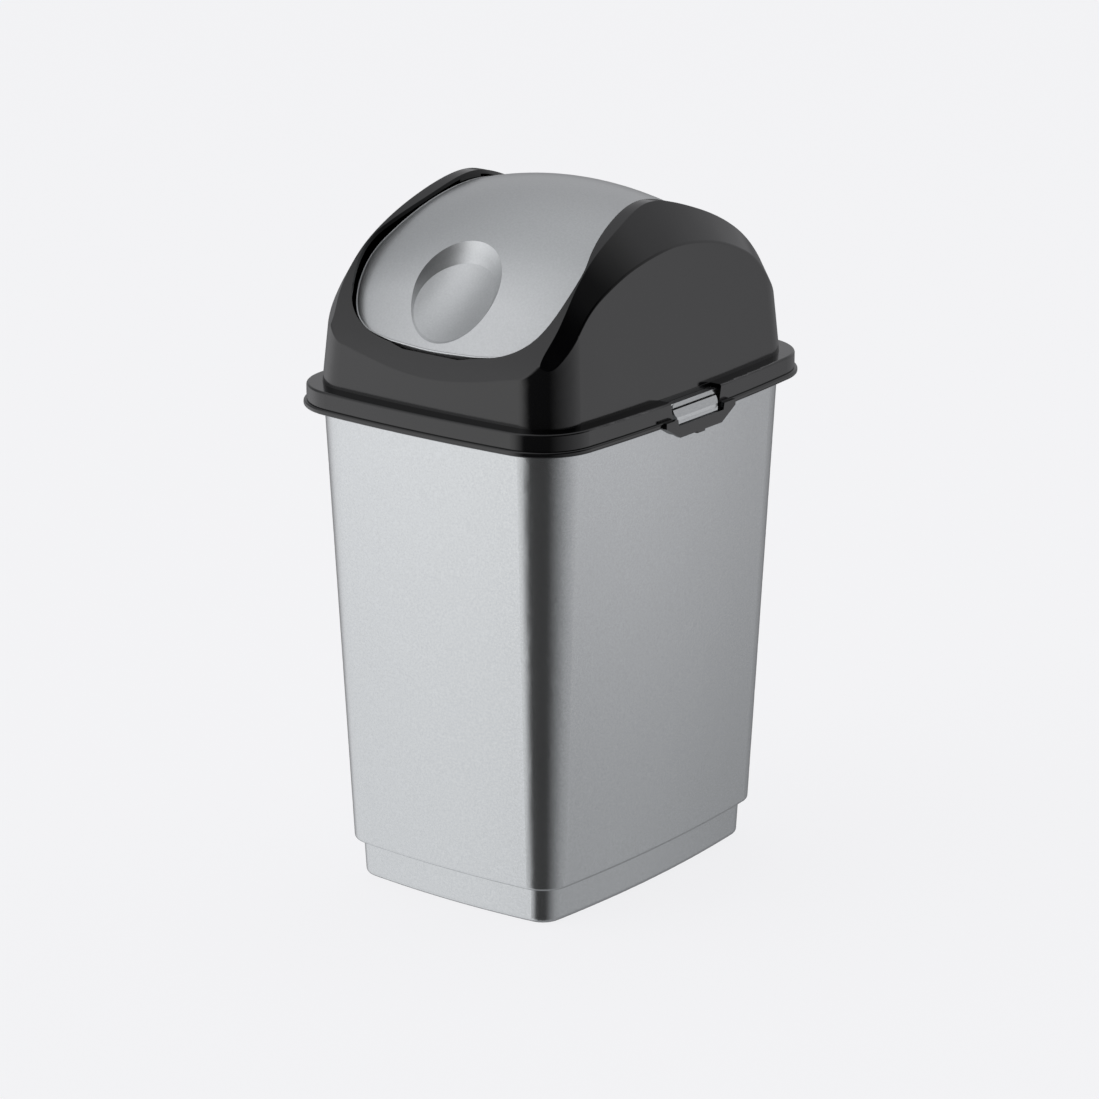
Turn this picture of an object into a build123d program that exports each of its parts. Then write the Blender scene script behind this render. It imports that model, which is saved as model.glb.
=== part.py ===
from build123d import *
import os
from math import atan2, cos, degrees, radians, sin, sqrt, tan

# A small kitchen bin in three mouldings: a tapered bucket, a hood that snaps over its rim,
# and a flap that swings in the hood. Millimetres. X runs across the narrow way and Y along the
# long way, with the front at -Y. The origin is the centre of the face that the bin stands on.

# Bucket
bucket_wall = 2.0
bucket_floor = 2.5
foot_height = 21.2
foot_step = 4.7             # how far the body stands out over the foot
foot_draft = 2.4            # degrees
foot_edge_radius = 3.0
step_edge_radius = 2.0
body_width = 153.4          # at the step
body_depth = 202.5
body_draft_x = 2.51         # degrees, the long walls
body_draft_y = 2.76         # degrees, the short walls
body_bow_x = 6.0            # how far each wall bows out at its middle
body_bow_y = 4.8
body_corner = 17.2          # at the step
rim_corner_gain = 8.7       # how much the corner radius grows from the step to the rim
base_recess = 1.2           # hollow under the floor
base_ring = 9.0             # width of the ring that the bin stands on
rim_stand_out_x = 5.76      # rim's edge past the top of the wall, on the long sides
rim_stand_out_y = 5.72      # and on the short sides
rim_thickness = 2.0
rim_lip_depth = 7.0         # turned-down lip of the rim

# Hood
hood_wall = 2.2
ledge_height = 285.5        # top of the skirt, from the ground
skirt_height = 12.5
skirt_bow_x = 7.2
skirt_bow_y = 5.6
skirt_corner = 32.3
skirt_edge_radius = 1.3
bead_height = 3.2
bead_stand_out = 1.55
bead_edge_radius = 1.2
ledge_x = 7.85              # width of the ledge on the long sides
ledge_y = 9.5               # and on the short sides
hood_bow_x = 6.0
hood_bow_y = 4.2
hood_corner = 25.0
hood_draft = 4.5            # degrees
crease_radius = 2.5         # between the roof and the upright walls

# Line of the arch from its middle to the front: distance from the middle, height over the ledge.
arch_line = [
    (0.0, 100.5),
    (30.0, 93.7),
    (60.0, 80.5),
    (76.0, 69.1),
    (92.0, 51.0),
    (103.0, 35.8),
    (108.2, 27.0),
    (111.6, 16.5),
    (114.4, 4.5),
]

# The sloped bands that cut the two sides off the arch. Each row is a place along the hood: distance
# from the middle, height over the ledge and distance in from the hood's foot at which the band
# meets the arch, and how steeply the band falls from there.
band_line = [
    (0.0, 100.5, 24.9, 1.13),
    (25.0, 95.3, 21.9, 1.19),
    (42.0, 89.2, 19.9, 1.23),
    (60.0, 80.5, 17.9, 1.34),
    (76.0, 69.1, 15.9, 1.47),
    (87.0, 57.5, 15.1, 1.6),
    (97.0, 44.5, 16.5, 1.6),
    (104.0, 35.0, 18.5, 1.6),
    (111.0, 27.0, 17.9, 1.6),
    (119.0, 19.0, 15.4, 1.6),
]

# Flap
flap_gap = 1.2              # between the flap and its opening, all round
flap_wall = 2.0
flap_side_inset = 32.9      # its narrow middle, in from the hood's foot
flap_end_inset = 5.9        # its ends, in from the hood's foot
waist_radius = 163.0
end_radius = 190.0
end_corner = 29.0
flap_rise = 104.0           # its top, over the ledge
flap_arch_radius = 107.3
flap_straight_from = 88.0   # the arch runs on straight past this distance from the middle
flap_crown = 8.0            # how far the surface falls from the middle to the waist
flange_depth = 6.0          # turned-down edge of the flap
flange_wall = 1.8
flap_margin = 6.0           # how far the flap's surface is drawn past the outline that trims it
flap_trim = 0.3             # how far the swept ends of the flap are cut back from its outline

# Dish in the front of the flap, for the hand
dish_from = 65.0            # its upper edge, along Y from the flap's middle
dish_to = 104.5             # and its lower edge
dish_squeeze = 0.82         # its width against its length
dish_ball_radius = 58.0     # the curve of its steep upper wall
dish_floor_radius = 120.0   # the curve of its shallow floor
dish_floor_squeeze = 0.7    # how much tighter the floor curves across the flap
dish_lean = 17.8            # degrees, the floor at its lower edge against the flap's slope
dish_sink = 0.5             # how far the lower edge of the floor is let in

# Pivot
pivot_drop = 17.5           # axis under the top of the flap
pin_radius = 4.0
pin_clearance = 0.05
pin_length = 7.0
ear_thickness = 2.6
ear_width = 20.0
ear_inset = 1.0             # ear face behind the edge of the waist
bracket_thickness = 3.0
bracket_gap = 2.4           # between ear and bracket
bracket_half_width = 9.0
bracket_rib = 2.0

# Clips on the two long sides
window_width = 46.8
window_floor_width = 41.0
lug_width_top = 44.6
lug_width_bottom = 35.0
lug_rise = 1.0              # its lower edge over the skirt's
lug_stand_out = 0.6         # past the skirt
lug_reach = 6.0             # from the rim's lip to the lug's face
lug_corner_radius = 4.0
lug_lean_down = 7.0         # the lug's face leans back over its upper part
lug_lean_in = 3.5
clip_gap = 0.3
strap_thickness = 2.4
strap_height = 7.2          # how far it hangs under the skirt
window_drop = 0.4           # how far the window runs down past the skirt
strap_width_top = 63.0
strap_width_bottom = 38.0
nib_width = 7.0             # grip under the strap, for the finger that springs it off
nib_drop = 1.0

# Fits
seat_gap = 0.1              # hood on rim
skirt_gap = 0.6             # skirt round rim

overrun = 10.0              # how far a cutting shape is drawn past what it cuts

# Worked out from the values above, all heights from the ground
skirt_bottom = ledge_height - skirt_height
rim_height = ledge_height - hood_wall - seat_gap
body_rise = rim_height - foot_height
rim_width = body_width + 2 * body_rise * tan(radians(body_draft_x)) + 2 * rim_stand_out_x
rim_depth = body_depth + 2 * body_rise * tan(radians(body_draft_y)) + 2 * rim_stand_out_y
skirt_width = rim_width + 2 * (skirt_gap + hood_wall)
skirt_depth = rim_depth + 2 * (skirt_gap + hood_wall)
hood_width = skirt_width - 2 * ledge_x
hood_depth = skirt_depth - 2 * ledge_y
flap_waist = hood_width - 2 * flap_side_inset
flap_length = hood_depth - 2 * flap_end_inset
flap_top = ledge_height + flap_rise
pivot_height = flap_top - pivot_drop
lug_bottom = skirt_bottom + lug_rise
lug_face = skirt_width / 2 + lug_stand_out
strap_bottom = skirt_bottom - strap_height
ear_face = flap_waist / 2 - ear_inset
bracket_face = ear_face + bracket_gap


def bowed(width, depth, bow_x, bow_y, corner, z):
    """A rounded rectangle whose four sides bow outward, lying flat at height z."""
    radius_x = ((depth / 2) ** 2 + bow_x ** 2) / (2 * bow_x)
    radius_y = ((width / 2) ** 2 + bow_y ** 2) / (2 * bow_y)
    right = Pos(width / 2 - radius_x, 0) * Circle(radius_x)
    left = Pos(radius_x - width / 2, 0) * Circle(radius_x)
    back = Pos(0, depth / 2 - radius_y) * Circle(radius_y)
    front = Pos(0, radius_y - depth / 2) * Circle(radius_y)
    outline = (right & left) & (back & front)
    return Pos(0, 0, z) * fillet(outline.vertices(), corner)


def body_outline(z, inset=0.0):
    """The bucket's wall at height z, moved in by inset."""
    rise = z - foot_height
    width = body_width + 2 * rise * tan(radians(body_draft_x)) - 2 * inset
    depth = body_depth + 2 * rise * tan(radians(body_draft_y)) - 2 * inset
    corner = body_corner + rim_corner_gain * rise / body_rise - inset
    return bowed(width, depth, body_bow_x, body_bow_y, corner, z)


def foot_outline(z, inset=0.0):
    """The bucket's foot at height z, moved in by inset."""
    shrink = foot_step + (foot_height - z) * tan(radians(foot_draft)) + inset
    return bowed(body_width - 2 * shrink, body_depth - 2 * shrink, body_bow_x, body_bow_y,
                 body_corner - foot_step - inset, z)


def skirt_outline(z, grow=0.0):
    """The hood's skirt, moved out by grow."""
    return bowed(skirt_width + 2 * grow, skirt_depth + 2 * grow, skirt_bow_x, skirt_bow_y,
                 skirt_corner + grow, z)


def hood_outline(z, inset=0.0):
    """The hood's upright walls at height z, moved in by inset."""
    shrink = (z - ledge_height) * tan(radians(hood_draft)) + inset
    return bowed(hood_width - 2 * shrink, hood_depth - 2 * shrink, hood_bow_x, hood_bow_y,
                 hood_corner - inset, z)


def between(lower, upper):
    return loft([lower, upper], ruled=True)


def arch_prism(inset):
    """What lies under the arch, across the whole width, with the arch moved in by inset."""
    points = []
    for i, (y, rise) in enumerate(arch_line):
        before = arch_line[i - 1] if i else (-arch_line[1][0], arch_line[1][1])
        after = arch_line[min(i + 1, len(arch_line) - 1)]
        run, drop = after[0] - before[0], before[1] - after[1]
        size = sqrt(run ** 2 + drop ** 2)
        points.append((y - inset * drop / size, ledge_height + rise - inset * run / size))
    side = hood_width / 2 + overrun
    arch = [Vector(-side, -y, z) for y, z in reversed(points)] + [Vector(-side, y, z) for y, z in points[1:]]
    floor = skirt_bottom - overrun
    low_front = Vector(-side, arch[0].Y, floor)
    low_back = Vector(-side, arch[-1].Y, floor)
    edges = [Spline(*arch), Line(arch[-1], low_back), Line(low_back, low_front), Line(low_front, arch[0])]
    return extrude(Face(Wire(edges)), amount=2 * side, dir=(1, 0, 0))


def band_section(y, rise, crest_inset, slope, inset):
    """What lies under the two bands in the upright plane at y, with them moved in by inset."""
    crest = hood_width / 2 - crest_inset
    level = ledge_height + rise - inset * sqrt(1 + slope ** 2)
    side = hood_width / 2 + overrun
    floor = skirt_bottom - 2 * overrun
    top = Vector(0, y, level + slope * crest)
    right, left = Vector(side, y, level - slope * (side - crest)), Vector(-side, y, level - slope * (side - crest))
    low_right, low_left = Vector(side, y, floor), Vector(-side, y, floor)
    return Face(Wire.make_polygon([top, right, low_right, low_left, left]))


def under_roof(inset=0.0):
    """A solid that fills everything under the roof, moved in by inset."""
    rows = [(-y, rise, crest, slope) for y, rise, crest, slope in reversed(band_line[1:])] + band_line
    bands = loft([band_section(*row, inset) for row in rows])
    return arch_prism(inset) & bands


def flap_outline(grow=0.0):
    """The flap in plan, moved out by grow: two rounded ends and a narrower waist."""
    back_off = flap_length / 2 - end_radius
    ends = Pos(0, -back_off) * Circle(end_radius + grow) & Pos(0, back_off) * Circle(end_radius + grow)
    side = flap_waist / 2 + waist_radius
    right = Pos(side, 0) * Circle(waist_radius - grow)
    left = Pos(-side, 0) * Circle(waist_radius - grow)
    shape = ends - right - left
    return fillet(shape.vertices(), end_corner + grow)


def side_of_waist():
    """Half width out to the middle of the circle that cuts the waist."""
    return flap_waist / 2 + waist_radius


def flap_height(x, y):
    """Height of the flap's outer surface over a place in plan."""
    if abs(y) <= flap_straight_from:
        ridge = sqrt(flap_arch_radius ** 2 - y ** 2)
    else:
        level = sqrt(flap_arch_radius ** 2 - flap_straight_from ** 2)
        ridge = level - (abs(y) - flap_straight_from) * flap_straight_from / level
    fall = flap_crown * (2 * x / flap_waist) ** 2
    return flap_top - flap_arch_radius + ridge - fall


def flap_section(x, inset):
    """What lies under the flap's surface in the upright plane at x, moved in by inset."""
    middle = flap_top - flap_arch_radius - flap_crown * (2 * x / flap_waist) ** 2
    radius = flap_arch_radius - inset
    turn = flap_straight_from / flap_arch_radius
    fall = turn / sqrt(1 - turn ** 2)
    join_y, join_z = radius * turn, middle + radius * sqrt(1 - turn ** 2)
    reach = flap_length / 2 + flap_margin
    end_z = join_z - (reach - join_y) * fall
    floor = 0.0
    front, back = Vector(x, -reach, end_z), Vector(x, reach, end_z)
    join_front, join_back = Vector(x, -join_y, join_z), Vector(x, join_y, join_z)
    low_front, low_back = Vector(x, -reach, floor), Vector(x, reach, floor)
    edges = [
        Line(front, join_front),
        ThreePointArc(join_front, Vector(x, 0, middle + radius), join_back),
        Line(join_back, back),
        Line(back, low_back),
        Line(low_back, low_front),
        Line(low_front, front),
    ]
    return Face(Wire(edges))


def under_flap(inset=0.0):
    """A solid that fills everything under the flap's surface, moved in by inset."""
    side = flap_waist / 2 + end_corner
    return loft([flap_section(side * share, inset) for share in (-1, -0.67, -0.33, 0, 0.33, 0.67, 1)])


def end_corner_middle():
    """Middle of the rounded corner that joins the waist to the end, by its two tangencies."""
    across, back = side_of_waist(), flap_length / 2 - end_radius
    to_waist, to_end = waist_radius + end_corner, end_radius - end_corner
    span = sqrt(across ** 2 + back ** 2)
    along = (to_end ** 2 - to_waist ** 2 + span ** 2) / (2 * span)
    off = sqrt(to_end ** 2 - along ** 2)
    unit_x, unit_y = across / span, -back / span
    return along * unit_x - off * unit_y, back + along * unit_y + off * unit_x


def swing_radius(x, y):
    """How far a place on the flap's edge lies from the pivot's axis."""
    return sqrt(y ** 2 + (pivot_height - flap_height(x, y)) ** 2)


def swing_envelope(gap=0.0, trim=0.0):
    """What turns about the pivot inside the flap's own ends, moved out by gap or trimmed back."""
    corner_x, corner_y = end_corner_middle()
    end_middle = flap_length / 2 - end_radius
    start = atan2(corner_y - end_middle, corner_x)
    middle_x = corner_x / 2
    middle_y = end_middle + sqrt(end_radius ** 2 - middle_x ** 2)
    edge = [Vector(0, swing_radius(0, flap_length / 2) + gap - trim),
            Vector(middle_x, swing_radius(middle_x, middle_y) + gap - trim)]
    for share in (1.0, 0.66, 0.33, 0.0):
        turn = start * share
        x, y = corner_x + end_corner * cos(turn), corner_y + end_corner * sin(turn)
        edge.append(Vector(x + gap * cos(turn), swing_radius(x, y) + gap * sin(turn) - trim))
    mirrored = [Vector(-place.X, place.Y) for place in reversed(edge[1:])]
    right = edge[-1] + Vector(overrun, 0)
    left = mirrored[0] - Vector(overrun, 0)
    foot_right, foot_left = Vector(right.X, 0), Vector(left.X, 0)
    profile = Face(Wire([Spline(*mirrored, *edge), Line(edge[-1], right), Line(right, foot_right),
                         Line(foot_right, foot_left), Line(foot_left, left), Line(left, mirrored[0])]))
    return Pos(0, 0, pivot_height) * revolve(Rot(X=-90) * profile, Axis.X)


def dish_tool(grow=0.0):
    """The scoop that presses the dish into the flap: a steep ball cut off by a shallow one."""
    upper, lower = flap_height(0, dish_from), flap_height(0, dish_to)
    run, drop = dish_to - dish_from, upper - lower
    half = sqrt(run ** 2 + drop ** 2) / 2
    seam_up = Rot(Y=-90)
    ball = Pos(0, 0, sqrt(dish_ball_radius ** 2 - half ** 2)) * seam_up * Sphere(dish_ball_radius + grow)
    ball = scale(ball, by=(dish_squeeze, 1, 1))
    floor_ball = Pos(0, 0, dish_floor_radius) * seam_up * Sphere(dish_floor_radius + grow)
    floor_ball = scale(floor_ball, by=(dish_floor_squeeze, 1, 1))
    floor_ball = Pos(0, -half, -dish_sink) * Rot(X=-dish_lean) * floor_ball
    middle = Pos(0, -(dish_from + dish_to) / 2, (upper + lower) / 2)
    return middle * Rot(X=degrees(atan2(drop, run))) * (ball & floor_ball)


def mirrored_pair(solid):
    """A piece and its twin on the other long side."""
    return [solid, solid.mirror(Plane.YZ)]


def trapezoid(x, thickness, top_width, bottom_width, top, bottom):
    """An upright plate across X from x outward, wider at its top than at its bottom."""
    points = [(-bottom_width / 2, bottom), (bottom_width / 2, bottom),
              (top_width / 2, top), (-top_width / 2, top)]
    face = Face(Wire.make_polygon([Vector(x, y, z) for y, z in points]))
    return extrude(face, amount=thickness, dir=(1, 0, 0))


def make_bucket():
    """The bucket: foot, tapered body, turned-over rim and a catch lug on each long side."""
    foot = between(foot_outline(0), foot_outline(foot_height))
    foot = fillet(foot.edges().group_by(Axis.Z)[0], foot_edge_radius)
    body = between(body_outline(foot_height), body_outline(rim_height))
    body = fillet(body.edges().group_by(Axis.Z)[0], step_edge_radius)
    rim_grow = -(hood_wall + skirt_gap)
    rim = extrude(skirt_outline(rim_height - rim_lip_depth, rim_grow), rim_lip_depth)
    under_rim = extrude(skirt_outline(rim_height - rim_lip_depth, rim_grow - rim_thickness),
                        rim_lip_depth - rim_thickness)
    lug = trapezoid(lug_face - lug_reach, lug_reach, lug_width_top, lug_width_bottom, rim_height, lug_bottom)
    lug = fillet(lug.edges().filter_by(Axis.X).group_by(Axis.Z)[-1], lug_corner_radius)
    side_view = [(lug_face - lug_reach, lug_bottom), (lug_face, lug_bottom),
                 (lug_face, rim_height - lug_lean_down), (lug_face - lug_lean_in, rim_height),
                 (lug_face - lug_reach, rim_height)]
    side_face = Face(Wire.make_polygon([Vector(x, -lug_width_top / 2, z) for x, z in side_view]))
    lug = lug & extrude(side_face, amount=lug_width_top, dir=(0, 1, 0))
    pocket = trapezoid(lug_face - lug_reach - overrun, lug_reach + overrun - bucket_wall,
                       lug_width_top - 2 * bucket_wall, lug_width_bottom - 2 * bucket_wall,
                       rim_height - rim_thickness, lug_bottom - bucket_wall)
    hollow_foot = between(foot_outline(bucket_floor, bucket_wall),
                          foot_outline(foot_height + bucket_wall, bucket_wall))
    hollow_foot = fillet(hollow_foot.edges().group_by(Axis.Z)[0], foot_edge_radius)
    hollow_body = between(body_outline(foot_height + bucket_wall, bucket_wall),
                          body_outline(rim_height + overrun, bucket_wall))
    shell = (foot + body) + (rim - under_rim)
    for piece in mirrored_pair(lug - pocket):
        shell = shell + piece
    recess = extrude(foot_outline(0, base_ring), base_recess)
    bucket = shell - hollow_foot - hollow_body - recess
    return bucket


def roof_creases(walls):
    """The edges where the roof meets the upright walls. They clear the ledge and pass under the crest."""
    return [edge for edge in walls.edges()
            if edge.bounding_box().min.Z > ledge_height and edge.center().Z < pivot_height]


def make_hood(roof, cavity_roof):
    """The hood: skirt with bead and clip straps, ledge, upright walls, arched roof and pivot brackets."""
    skirt = extrude(skirt_outline(skirt_bottom), ledge_height - skirt_bottom)
    skirt = fillet(skirt.edges().group_by(Axis.Z)[-1], skirt_edge_radius)
    bead = extrude(skirt_outline(skirt_bottom, bead_stand_out), bead_height)
    bead = fillet(bead.edges().group_by(Axis.Z)[-1] + bead.edges().group_by(Axis.Z)[0], bead_edge_radius)
    top = flap_top + overrun
    walls = between(hood_outline(ledge_height - hood_wall), hood_outline(top)) & roof
    creases = roof_creases(walls)
    walls = fillet(creases, crease_radius)
    cavity = between(hood_outline(ledge_height - hood_wall - overrun, hood_wall), hood_outline(top, hood_wall))
    cavity = cavity & cavity_roof
    skirt_hollow = extrude(skirt_outline(skirt_bottom - overrun, -hood_wall),
                           ledge_height - hood_wall - skirt_bottom + overrun)
    hood = skirt + bead + walls - cavity - skirt_hollow

    bracket_box = Pos(bracket_face, 0, pivot_height) * Box(
        bracket_thickness, 2 * bracket_half_width, flap_top - pivot_height,
        align=(Align.MIN, Align.CENTER, Align.MIN))
    bracket_end = Pos(bracket_face, 0, pivot_height) * Rot(Y=90) * Cylinder(
        bracket_half_width, bracket_thickness, align=(Align.CENTER, Align.CENTER, Align.MIN))
    rib_depth = hood_width / 2 - bracket_face
    rib = Pos(bracket_face, 0, pivot_height + bracket_half_width / 2) * Box(
        rib_depth, bracket_rib, flap_top - pivot_height, align=(Align.MIN, Align.CENTER, Align.MIN))
    room = between(hood_outline(ledge_height, hood_wall / 2), hood_outline(top, hood_wall / 2))
    bracket = (bracket_box + bracket_end + rib) & room & under_roof(hood_wall / 2)
    bore = Pos(ear_face, 0, pivot_height) * Rot(Y=90) * Cylinder(
        pin_radius + pin_clearance, bracket_thickness + 2 * bracket_gap,
        align=(Align.CENTER, Align.CENTER, Align.MIN))
    for piece in mirrored_pair(bracket - bore):
        hood = hood + piece

    inner = skirt_width / 2 - hood_wall
    strap_face = lug_face + clip_gap
    outer = strap_face + strap_thickness
    strap = trapezoid(inner, outer - inner, strap_width_top, strap_width_bottom, skirt_bottom, strap_bottom)
    strap = strap + Pos(strap_face, 0, skirt_bottom) * Box(
        strap_thickness, strap_width_top, bead_height, align=(Align.MIN, Align.CENTER, Align.MIN))
    strap = strap + Pos(strap_face, 0, strap_bottom) * Box(
        strap_thickness, nib_width, nib_drop, align=(Align.MIN, Align.CENTER, Align.MAX))
    pocket = Pos(inner - overrun, 0, strap_bottom - overrun) * Box(
        overrun + strap_face - inner, lug_width_top + 2 * clip_gap,
        overrun + skirt_bottom + bead_height - strap_bottom, align=(Align.MIN, Align.CENTER, Align.MIN))
    window = trapezoid(hood_width / 2 + clip_gap, outer, window_width, window_floor_width,
                       ledge_height + skirt_edge_radius, skirt_bottom - window_drop)
    for piece in mirrored_pair(strap):
        hood = hood + piece
    for piece in mirrored_pair(pocket) + mirrored_pair(window):
        hood = hood - piece

    opening = Pos(0, 0, ledge_height) * extrude(flap_outline(flap_gap), flap_top)
    tip = swing_radius(0, flap_length / 2) + flap_gap
    reach = Pos(0, 0, pivot_height) * Rot(Y=90) * Cylinder(tip, 2 * hood_width)
    hood = hood - (opening & reach)
    corner_x, corner_y = end_corner_middle()
    past_corner = Pos(0, corner_y, ledge_height) * Box(
        2 * (corner_x + end_corner + flap_gap), hood_depth, flap_top, align=(Align.CENTER, Align.MIN, Align.MIN))
    swept = swing_envelope(gap=flap_gap) & past_corner
    return hood - swept - swept.mirror(Plane.XZ)


def make_flap():
    """The flap: a double-curved shell with a turned-down edge, a dish and two ears with stub pins."""
    prism = extrude(flap_outline(), flap_top + overrun) & swing_envelope(trim=flap_trim)
    inner_prism = extrude(flap_outline(-flange_wall), flap_top + overrun)
    inner_prism = inner_prism & swing_envelope(trim=flap_trim + flange_wall)
    outer = (under_flap() - dish_tool()) & prism
    inner = under_flap(flap_wall) - dish_tool(flap_wall)
    shell = outer - inner
    flange = outer - Pos(0, 0, -flange_depth) * under_flap() - inner_prism
    ear = Pos(ear_face, 0, pivot_height) * Box(
        ear_thickness, ear_width, flap_top - pivot_height, align=(Align.MAX, Align.CENTER, Align.MIN))
    ear_end = Pos(ear_face, 0, pivot_height) * Rot(Y=90) * Cylinder(
        ear_width / 2, ear_thickness, align=(Align.CENTER, Align.CENTER, Align.MAX))
    ear = (ear + ear_end) & outer
    pin = Pos(ear_face - ear_thickness / 2, 0, pivot_height) * Rot(Y=90) * Cylinder(
        pin_radius, pin_length + ear_thickness / 2, align=(Align.CENTER, Align.CENTER, Align.MIN))
    flap = shell + flange
    for piece in mirrored_pair(ear):
        flap = flap + piece
    for piece in mirrored_pair(pin):
        flap = flap + piece
    return flap


def main():
    roof = under_roof()
    pieces = {
        "bucket": make_bucket(),
        "hood": make_hood(roof, under_roof(hood_wall)),
        "swing_flap": make_flap(),
    }
    os.makedirs("parts", exist_ok=True)
    for name, piece in pieces.items():
        size = piece.bounding_box()
        print(name, "solids", len(piece.solids()), "volume", round(piece.volume), "top", round(size.max.Z, 2))
        export_step(piece, "parts/" + name + ".step")


if __name__ == "__main__":
    main()
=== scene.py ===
# %% [markdown]
# A slim swing-lid bin for the kitchen. Three injection mouldings make it: a tapered bucket in
# silver plastic, a glossy black hood that clips over the bucket's rim, and a silver flap that
# swings in the hood on two stub pins. The imported CAD model gives each of them its size and its
# place. This file gives them their surfaces and the flap its softly rounded rim, and sets up the
# camera and the light of a product photograph.

# %% Load the frame
import bpy
from math import cos, pi, radians, sin
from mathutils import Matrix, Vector


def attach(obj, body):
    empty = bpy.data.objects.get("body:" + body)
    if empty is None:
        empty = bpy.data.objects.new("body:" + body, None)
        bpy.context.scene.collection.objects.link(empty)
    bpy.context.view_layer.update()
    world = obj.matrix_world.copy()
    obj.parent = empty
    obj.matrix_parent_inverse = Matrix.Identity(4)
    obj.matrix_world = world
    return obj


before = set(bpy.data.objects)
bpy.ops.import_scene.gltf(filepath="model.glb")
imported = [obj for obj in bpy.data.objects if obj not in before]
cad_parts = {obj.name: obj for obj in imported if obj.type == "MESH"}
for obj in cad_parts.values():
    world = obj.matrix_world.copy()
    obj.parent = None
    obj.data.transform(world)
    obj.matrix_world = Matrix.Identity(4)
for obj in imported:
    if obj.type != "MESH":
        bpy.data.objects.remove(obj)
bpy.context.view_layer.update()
MM = 0.001
print("faces in each node:", {name: len(node.data.polygons) for name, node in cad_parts.items()})

# %% [markdown]
# The camera stands well back with a long lens, as product photographers do, so the bin hardly
# tapers with distance. Its place could be typed in as coordinates. It is given here the way a
# photographer would say it, because that is easy to adjust: how far round the bin, how high, how
# far away, and which point lies in the middle of the picture.

# %% Camera
azimuth = radians(37.5)         # from straight in front, towards +X
elevation = radians(17.57)
distance = 2642.8 * MM
aim_right = -2.19 * MM          # the middle of the picture, from the origin
aim_up = 170.86 * MM

camera_right = Vector((cos(azimuth), sin(azimuth), 0))
camera_back = Vector((sin(azimuth) * cos(elevation), -cos(azimuth) * cos(elevation), sin(elevation)))
camera_up = camera_back.cross(camera_right)

camera_data = bpy.data.cameras.new("camera")
camera_data.lens = 152.8
camera_data.sensor_width = 36.0
camera = bpy.data.objects.new("camera", camera_data)
bpy.context.scene.collection.objects.link(camera)
camera.rotation_euler = (radians(90) - elevation, 0, azimuth)
camera.location = camera_right * aim_right + camera_up * aim_up + camera_back * distance
bpy.context.scene.camera = camera
print("camera at", [round(value, 3) for value in camera.location])

# %% [markdown]
# Colours are written as sRGB hex values, the way a paint chart or a picture editor gives them.
# Shaders work in linear light, so one function turns each of them. A second small function adds a
# node, sets its values, joins its inputs and, for a colour ramp, sets its stops. With it, each
# material below reads as a short list.

# %% Colours and nodes
def linear(hex_value):
    channels = [int(hex_value[i:i + 2], 16) / 255 for i in (1, 3, 5)]
    return [c / 12.92 if c <= 0.04045 else ((c + 0.055) / 1.055) ** 2.4 for c in channels] + [1.0]


def add_node(tree, kind, values=None, links=None, stops=(), **settings):
    node = tree.nodes.new(kind)
    for name, value in settings.items():
        setattr(node, name, value)
    for socket, value in (values or {}).items():
        node.inputs[socket].default_value = value
    for socket, (source, output) in (links or {}).items():
        tree.links.new(source.outputs[output], node.inputs[socket])
    for i, (place, colour) in enumerate(stops):
        element = node.color_ramp.elements[i] if i < 2 else node.color_ramp.elements.new(place)
        element.position = place
        element.color = linear(colour)
    return node


def new_material(name):
    material = bpy.data.materials.new(name)
    material.use_nodes = True
    material.node_tree.nodes.clear()
    return material, material.node_tree


print("mid grey #808080 in linear light:", round(linear("#808080")[0], 3))

# %% [markdown]
# Shiny silver plastic has hardly any colour of its own. What the eye sees on it is the room, so
# the room decides the looks. Lamps and cards could stand around the bin. A world made of rings of
# tone is chosen here instead, because every wall, slope and corner of the bin mirrors one known
# direction of it. It is a photographer's tent: bright at the left, softer at the right, and dark
# in the gap where the camera stands. That gap draws the black band down the rounded front corner.
# Directions are measured as on a compass that points at the camera.

# %% Compass and height in the world
world = bpy.data.worlds.new("studio")
bpy.context.scene.world = world
world.use_nodes = True
tree = world.node_tree
tree.nodes.clear()
direction = add_node(tree, "ShaderNodeTexCoord")
turned = add_node(tree, "ShaderNodeMapping", {"Rotation": (0, 0, -azimuth)},
                  {"Vector": (direction, "Generated")})
parts = add_node(tree, "ShaderNodeSeparateXYZ", links={"Vector": (turned, "Vector")})
toward = add_node(tree, "ShaderNodeMath", {1: -1.0}, {0: (parts, "Y")}, operation="MULTIPLY")
compass = add_node(tree, "ShaderNodeMath", links={0: (parts, "X"), 1: (toward, "Value")},
                   operation="ARCTAN2")
turn = add_node(tree, "ShaderNodeMath", {1: 0.5 / pi, 2: 0.5}, {0: (compass, "Value")},
                operation="MULTIPLY_ADD")


def ring_stops(tones):
    """Stops of a ring's colour ramp, from degrees to the right of the camera."""
    return [(0.5 + degrees_right / 360, colour) for degrees_right, colour in tones.items()]


print("straight to the camera lies at", ring_stops({0: "#000000"})[0][0], "of the ring")

# %% [markdown]
# The low ring is what the upright walls mirror, because the camera looks down at them and they
# taper inward towards the floor. The middle ring is a little brighter: the walls mirror it near
# their tops, which gives them their glow under the hood. The high ring is what the arched
# flap mirrors. Straight below lies the table, in plain grey, which the walls mirror when the bin
# is seen from high above. A Map Range blends each zone into the next. Its limits are heights of
# the direction: -1 is straight down, 0 is the horizon and 1 is straight up.

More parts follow.
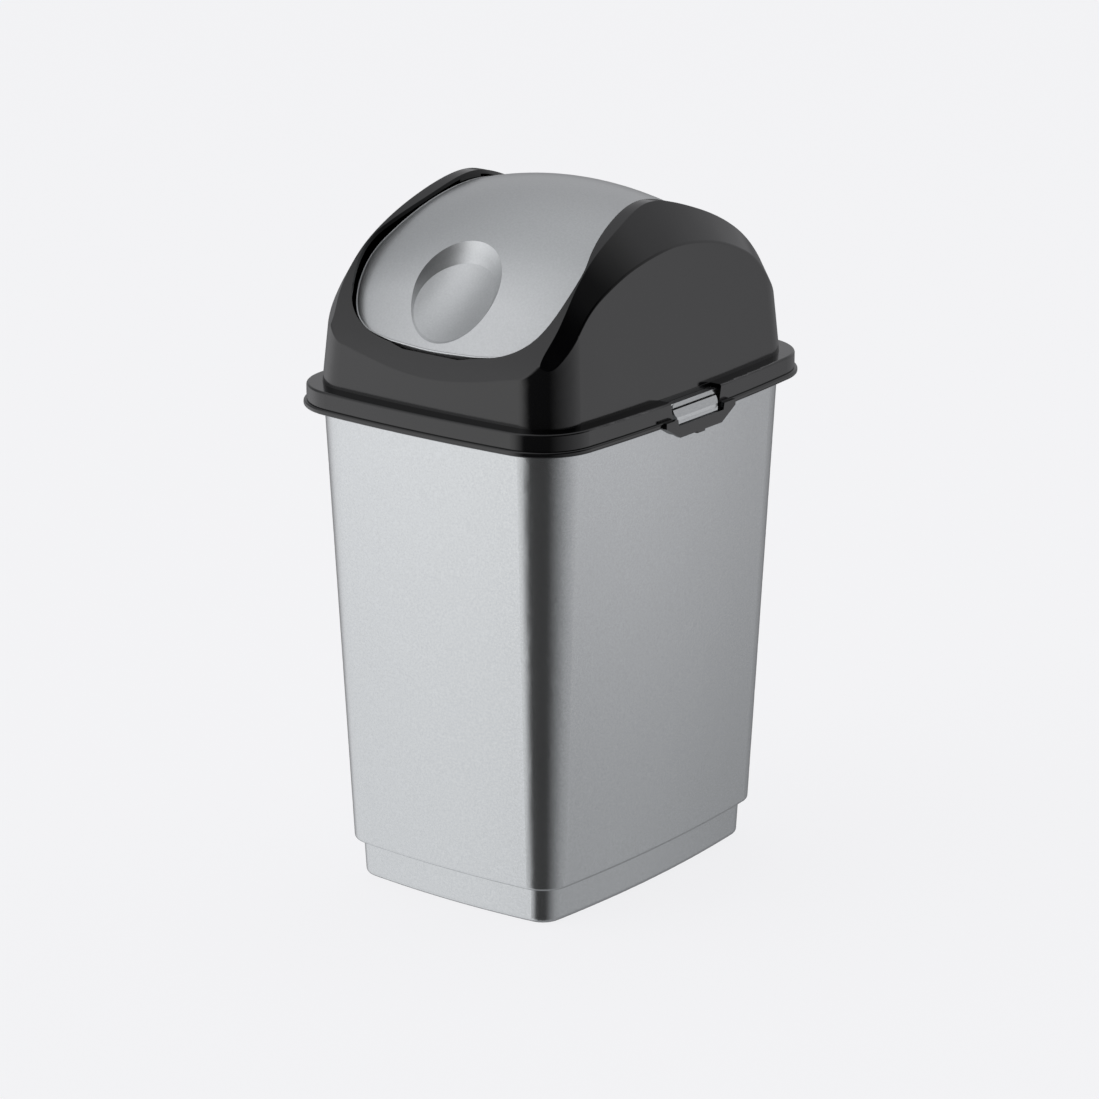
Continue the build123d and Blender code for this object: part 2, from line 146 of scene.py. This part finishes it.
# %% Rings of tone
low_ring = add_node(tree, "ShaderNodeValToRGB", links={"Fac": (turn, "Value")}, stops=ring_stops({
    -180: "#303030", -156: "#808082", -128: "#D7D8DA", -62: "#D9DADC", -38: "#303030", 14: "#2A2A2A",
    62: "#8C8D8F", 100: "#929395", 125: "#838486", 158: "#707072", 180: "#303030"}))
middle_ring = add_node(tree, "ShaderNodeValToRGB", links={"Fac": (turn, "Value")}, stops=ring_stops({
    -180: "#404040", -154: "#808082", -118: "#E0E0E2", -80: "#F8F8FA", -62: "#FFFFFF", -38: "#343434",
    12: "#343434", 60: "#B0B0B2", 96: "#D8D8DA", 118: "#A6A6A8", 156: "#707072", 180: "#404040"}))
high_ring = add_node(tree, "ShaderNodeValToRGB", links={"Fac": (turn, "Value")}, stops=ring_stops({
    -180: "#9A9A9C", -140: "#868789", -122: "#8E8F91", -108: "#A8A9AB", -92: "#D4D4D6", -62: "#F8F8FA",
    -34: "#484848", 8: "#060606", 78: "#101010", 94: "#888888", 106: "#B0B0B2", 180: "#9A9A9C"}))

nadir = add_node(tree, "ShaderNodeMapRange", {"From Min": -0.82, "From Max": -0.95},
                 {"Value": (parts, "Z")})
dip = add_node(tree, "ShaderNodeMapRange", {"From Min": -0.39, "From Max": -0.34},
               {"Value": (parts, "Z")})
horizon = add_node(tree, "ShaderNodeMapRange", {"From Min": 0.0, "From Max": 0.12},
                   {"Value": (parts, "Z")})
zenith = add_node(tree, "ShaderNodeMapRange", {"From Min": 0.6, "From Max": 0.92, "To Max": 0.6},
                  {"Value": (parts, "Z")})
ground = add_node(tree, "ShaderNodeMixRGB", {"Color2": linear("#8A8B8D")},
                  {"Fac": (nadir, "Result"), "Color1": (low_ring, "Color")})
lower = add_node(tree, "ShaderNodeMixRGB", links={
    "Fac": (dip, "Result"), "Color1": (ground, "Color"), "Color2": (middle_ring, "Color")})
rings = add_node(tree, "ShaderNodeMixRGB", links={
    "Fac": (horizon, "Result"), "Color1": (lower, "Color"), "Color2": (high_ring, "Color")})
tent = add_node(tree, "ShaderNodeMixRGB", {"Color2": linear("#C2C3C5")},
                {"Fac": (zenith, "Result"), "Color1": (rings, "Color")})
for ring in (low_ring, middle_ring, high_ring):
    print("ring with", len(ring.color_ramp.elements), "tones")

# %% [markdown]
# The camera itself sees a plain pale background and not the tent. Light Path tells the two apart:
# a ray that comes straight from the camera gets the pale colour, and all other light comes from
# the tent. The tent is nearly twice as strong as its colours say, because the silver and its
# flake give back only part of what falls on them.

# %% Background
tent_strength = 1.7

tent_light = add_node(tree, "ShaderNodeBackground", {"Strength": tent_strength},
                      {"Color": (tent, "Color")})
backdrop = add_node(tree, "ShaderNodeBackground", {"Color": linear("#F3F3F5"), "Strength": 1.0})
path = add_node(tree, "ShaderNodeLightPath")
shown = add_node(tree, "ShaderNodeMixShader", links={
    0: (path, "Is Camera Ray"), 1: (tent_light, "Background"), 2: (backdrop, "Background")})
add_node(tree, "ShaderNodeOutputWorld", links={"Surface": (shown, "Shader")})
print("world:", world.name, "with", len(tree.nodes), "nodes")

# %% [markdown]
# The bin stands on white paper that runs on into the background. A white surface would take on
# the tent's uneven light, so most of its brightness is its own glow, and a tenth of it is real
# paper, which keeps a faint soft shadow round the foot.

# %% Floor
floor_size = 6000 * MM
glow_share = 0.9

bpy.ops.object.select_all(action="DESELECT")
bpy.ops.mesh.primitive_plane_add(size=floor_size, location=(0, 0, 0))
floor = bpy.context.object
floor.name = "floor"
floor.visible_glossy = False
floor_paper, tree = new_material("floor_paper")
diffuse = add_node(tree, "ShaderNodeBsdfDiffuse", {"Color": linear("#F3F3F5")})
glow = add_node(tree, "ShaderNodeEmission", {"Color": linear("#F7F7F9"), "Strength": 1.0})
mixed = add_node(tree, "ShaderNodeMixShader", {0: glow_share},
                 {1: (diffuse, "BSDF"), 2: (glow, "Emission")})
add_node(tree, "ShaderNodeOutputMaterial", links={"Surface": (mixed, "Shader")})
floor.data.materials.append(floor_paper)
print("floor", tuple(round(value, 1) for value in floor.dimensions), "m")

# %% [markdown]
# One large lamp overhead casts the shadow on the paper. It could be a small one, but the larger a
# lamp is, the softer its shadow. It is hidden from reflections, because its square would show in
# the flap.

# %% Lamp
lamp_size = 1200 * MM
lamp_watts = 3
lamp_place = Vector((-500, 300, 1800)) * MM
lamp_target = Vector((0, 0, 200)) * MM

lamp_data = bpy.data.lights.new("overhead_lamp", "AREA")
lamp_data.shape = "SQUARE"
lamp_data.size = lamp_size
lamp_data.energy = lamp_watts
lamp = bpy.data.objects.new("overhead_lamp", lamp_data)
bpy.context.scene.collection.objects.link(lamp)
lamp.location = lamp_place
lamp.rotation_euler = (lamp_target - lamp_place).to_track_quat("-Z", "Y").to_euler()
lamp.visible_glossy = False
print("lamp at", [round(value, 2) for value in lamp.location], "m")

# %% [markdown]
# The silver is polypropylene with aluminium flake mixed in, moulded in a smooth tool. The flake
# makes it shine like dull metal, so it is nearly all metallic, at a middling roughness. Real
# flake is finer than a tenth of a millimetre, too fine to show, so its grain is drawn about
# 1 mm wide and very faint. The plastic also cools unevenly as it flows into the tool, which
# leaves broad patches, some 60 mm across, that are a touch more or less glossy.

# %% Silver plastic
grain_width = 1.1 * MM
flow_width = 60 * MM
gloss_change = 0.02


def silver_plastic(name, metallic, roughness, dark, light):
    material, tree = new_material(name)
    coords = add_node(tree, "ShaderNodeTexCoord")
    flakes = add_node(tree, "ShaderNodeTexNoise", {"Scale": 1 / grain_width, "Detail": 2.0},
                      {"Vector": (coords, "Object")})
    grain = add_node(tree, "ShaderNodeValToRGB", links={"Fac": (flakes, "Fac")},
                     stops=[(0.3, dark), (0.7, light)])
    flow = add_node(tree, "ShaderNodeTexNoise", {"Scale": 1 / flow_width, "Detail": 1.0},
                    {"Vector": (coords, "Object")})
    gloss = add_node(tree, "ShaderNodeMapRange",
                     {"To Min": roughness - gloss_change, "To Max": roughness + gloss_change},
                     {"Value": (flow, "Fac")})
    surface = add_node(tree, "ShaderNodeBsdfPrincipled", {"Metallic": metallic},
                       {"Base Color": (grain, "Color"), "Roughness": (gloss, "Result")})
    add_node(tree, "ShaderNodeOutputMaterial", links={"Surface": (surface, "BSDF")})
    return material


bucket_silver = silver_plastic("silver_flake_pp", 0.96, 0.25, "#B4B6B7", "#BCBEBF")
print(bucket_silver.name, "grain", round(grain_width / MM, 1), "mm")
print(bucket_silver.name, "patches", round(flow_width / MM), "mm")

# %% [markdown]
# The flap is moulded from the same plastic in its own tool, whose surface is a little duller. It
# scatters more of the light, so it looks softer than the bucket, and the dark hood hardly shows in it.
# Its base colour is also painted a touch paler than the bucket's: painted light for the top of the
# bin.

# %% Silver plastic of the flap, painted paler
# B8BABB and #C0C2C3 are painted light: the bucket's silver made paler for the upward-facing flap
flap_silver_painted_paler = silver_plastic("silver_flake_pp_satin_painted_paler", 0.78, 0.34, "#B8BABB", "#C0C2C3")
print(flap_silver_painted_paler.name, "on the flap")

# %% [markdown]
# The hood is plain black polypropylene from a polished tool. Its colour is almost black and its
# look is all gloss: a sharp reflection, about 4 in 100 of what falls on it, as the index of 1.49
# of this plastic gives. The polish varies slightly over patches of 25 mm, and a wave far too low
# to feel breaks up the reflections in the way of moulded plastic.

# %% Black plastic
patch_width = 25 * MM
wave_height = 0.2 * MM

black_gloss, tree = new_material("black_gloss_pp")
coords = add_node(tree, "ShaderNodeTexCoord")
patches = add_node(tree, "ShaderNodeTexNoise", {"Scale": 1 / patch_width, "Detail": 1.0},
                   {"Vector": (coords, "Object")})
polish = add_node(tree, "ShaderNodeMapRange", {"To Min": 0.1, "To Max": 0.16},
                  {"Value": (patches, "Fac")})
wave = add_node(tree, "ShaderNodeBump", {"Strength": 0.25, "Distance": wave_height},
                {"Height": (patches, "Fac")})
surface = add_node(tree, "ShaderNodeBsdfPrincipled", {"Base Color": linear("#070708"), "IOR": 1.49},
                   {"Roughness": (polish, "Result"), "Normal": (wave, "Normal")})
add_node(tree, "ShaderNodeOutputMaterial", links={"Surface": (surface, "BSDF")})
print(black_gloss.name, "polish patches", round(patch_width / MM), "mm")

# %% [markdown]
# No moulded edge is knife sharp. On the real bin a bright line runs all round the flap, where its
# turned-down edge is rounded. The CAD edge is sharp. A bevel would cut into thousands of tiny CAD
# triangles, so a round bead is laid along the edge instead. First the edge has to be found. It
# is where the top of the flap meets its side. The dish and the two pins have such edges too, so
# their places are left out.

# %% Where the edge is not
edge_from = 310 * MM            # no part of the edge lies lower
dish_half_width = 34 * MM
dish_reach = 98 * MM            # along Y. At the flap's ends, the edge lies beyond it
pin_half_width = 12 * MM
over_pin = 379 * MM             # over the pins, the edge lies higher than this


def is_elsewhere(middle):
    in_dish = abs(middle.x) < dish_half_width and abs(middle.y) < dish_reach
    on_pin = abs(middle.y) < pin_half_width and middle.z < over_pin
    return in_dish or on_pin or middle.z < edge_from


print("left out: up to", round(edge_from / MM), "mm high, the dish and the pins")

# %% [markdown]
# The edges could be picked by hand in the window. Here a small test picks them, so nothing has to
# be clicked again after a small change of shape. It looks at each edge of a copy of the flap's CAD
# node, and asks whether one of its two faces belongs to the top and the other to the side. The
# copy is merged first, because a CAD mesh is loose triangles, and no two of them share an edge.

# %% Edge of the flap
top_tilt = 0.35                 # a face of the top looks up at least this much
side_tilt = 0.2                 # and a face of the side at most this much, and outward


def is_top(face):
    return face.normal.z > top_tilt


def is_side(face, middle):
    return face.normal.z < side_tilt and face.normal.xy.dot(middle.xy) > 0


bpy.ops.object.select_all(action="DESELECT")
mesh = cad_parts["swing_flap"].data.copy()
flap_rim = bpy.data.objects.new("flap_rim", mesh)
bpy.context.scene.collection.objects.link(flap_rim)
bpy.context.view_layer.objects.active = flap_rim
flap_rim.select_set(True)
bpy.ops.object.mode_set(mode="EDIT")
bpy.ops.mesh.select_all(action="SELECT")
bpy.ops.mesh.remove_doubles(threshold=0.01 * MM)
bpy.ops.mesh.select_all(action="DESELECT")
bpy.ops.object.mode_set(mode="OBJECT")
faces_at = {}
for face in mesh.polygons:
    for key in face.edge_keys:
        faces_at.setdefault(key, []).append(face)
for edge in mesh.edges:
    pair = faces_at.get(tuple(sorted(edge.vertices)), [])
    middle = (mesh.vertices[edge.vertices[0]].co + mesh.vertices[edge.vertices[1]].co) / 2
    edge.select = len(pair) == 2 and not is_elsewhere(middle) and any(
        is_top(one) and is_side(other, middle) for one, other in (pair, pair[::-1]))
print("edges along the rim:", sum(edge.select for edge in mesh.edges), "of", len(mesh.edges))

# %% [markdown]
# With the edge selected, everything else is deleted. The line that is left is closed, and it
# becomes a curve with a round section, and then a mesh. It lies a little lower than the sharp
# edge, so that the bead rounds the edge off. The gap between flap and hood is 1.2 mm, and it
# narrows while the flap swings, so the bead's radius is only half of that.

# %% Rounded rim of the flap
rim_radius = 0.6 * MM
rim_drop = 0.3 * MM

bpy.ops.object.mode_set(mode="EDIT")
bpy.ops.mesh.select_mode(type="EDGE")
bpy.ops.mesh.select_all(action="INVERT")
bpy.ops.mesh.delete(type="EDGE")
bpy.ops.mesh.select_all(action="SELECT")
bpy.ops.transform.translate(value=(0, 0, -rim_drop))
bpy.ops.object.mode_set(mode="OBJECT")
bpy.ops.object.convert(target="CURVE")
print("closed lines:", [spline.use_cyclic_u for spline in flap_rim.data.splines])
flap_rim.data.bevel_depth = rim_radius
flap_rim.data.bevel_resolution = 3
bpy.ops.object.convert(target="MESH")
bpy.ops.object.shade_smooth()
flap_rim.data.materials.clear()
flap_rim.data.materials.append(flap_silver_painted_paler)
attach(flap_rim, "flap")
print(flap_rim.name, len(flap_rim.data.polygons), "faces")

# %% [markdown]
# The three mouldings themselves come from the CAD model as they are, with the stepped foot, the
# ledge, the clips and the dish already in their shape. Each of them takes its finish in its
# material slot.

# %% Finishes on the mouldings
finish_of = {"bucket": bucket_silver, "hood": black_gloss, "swing_flap": flap_silver_painted_paler}
for name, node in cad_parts.items():
    node.data.materials.clear()
    node.data.materials.append(finish_of[name])
    print(name, "is", finish_of[name].name)

# %% [markdown]
# The Standard view keeps a colour as it is written.

# %% Finish
bpy.context.scene.view_settings.view_transform = "Standard"
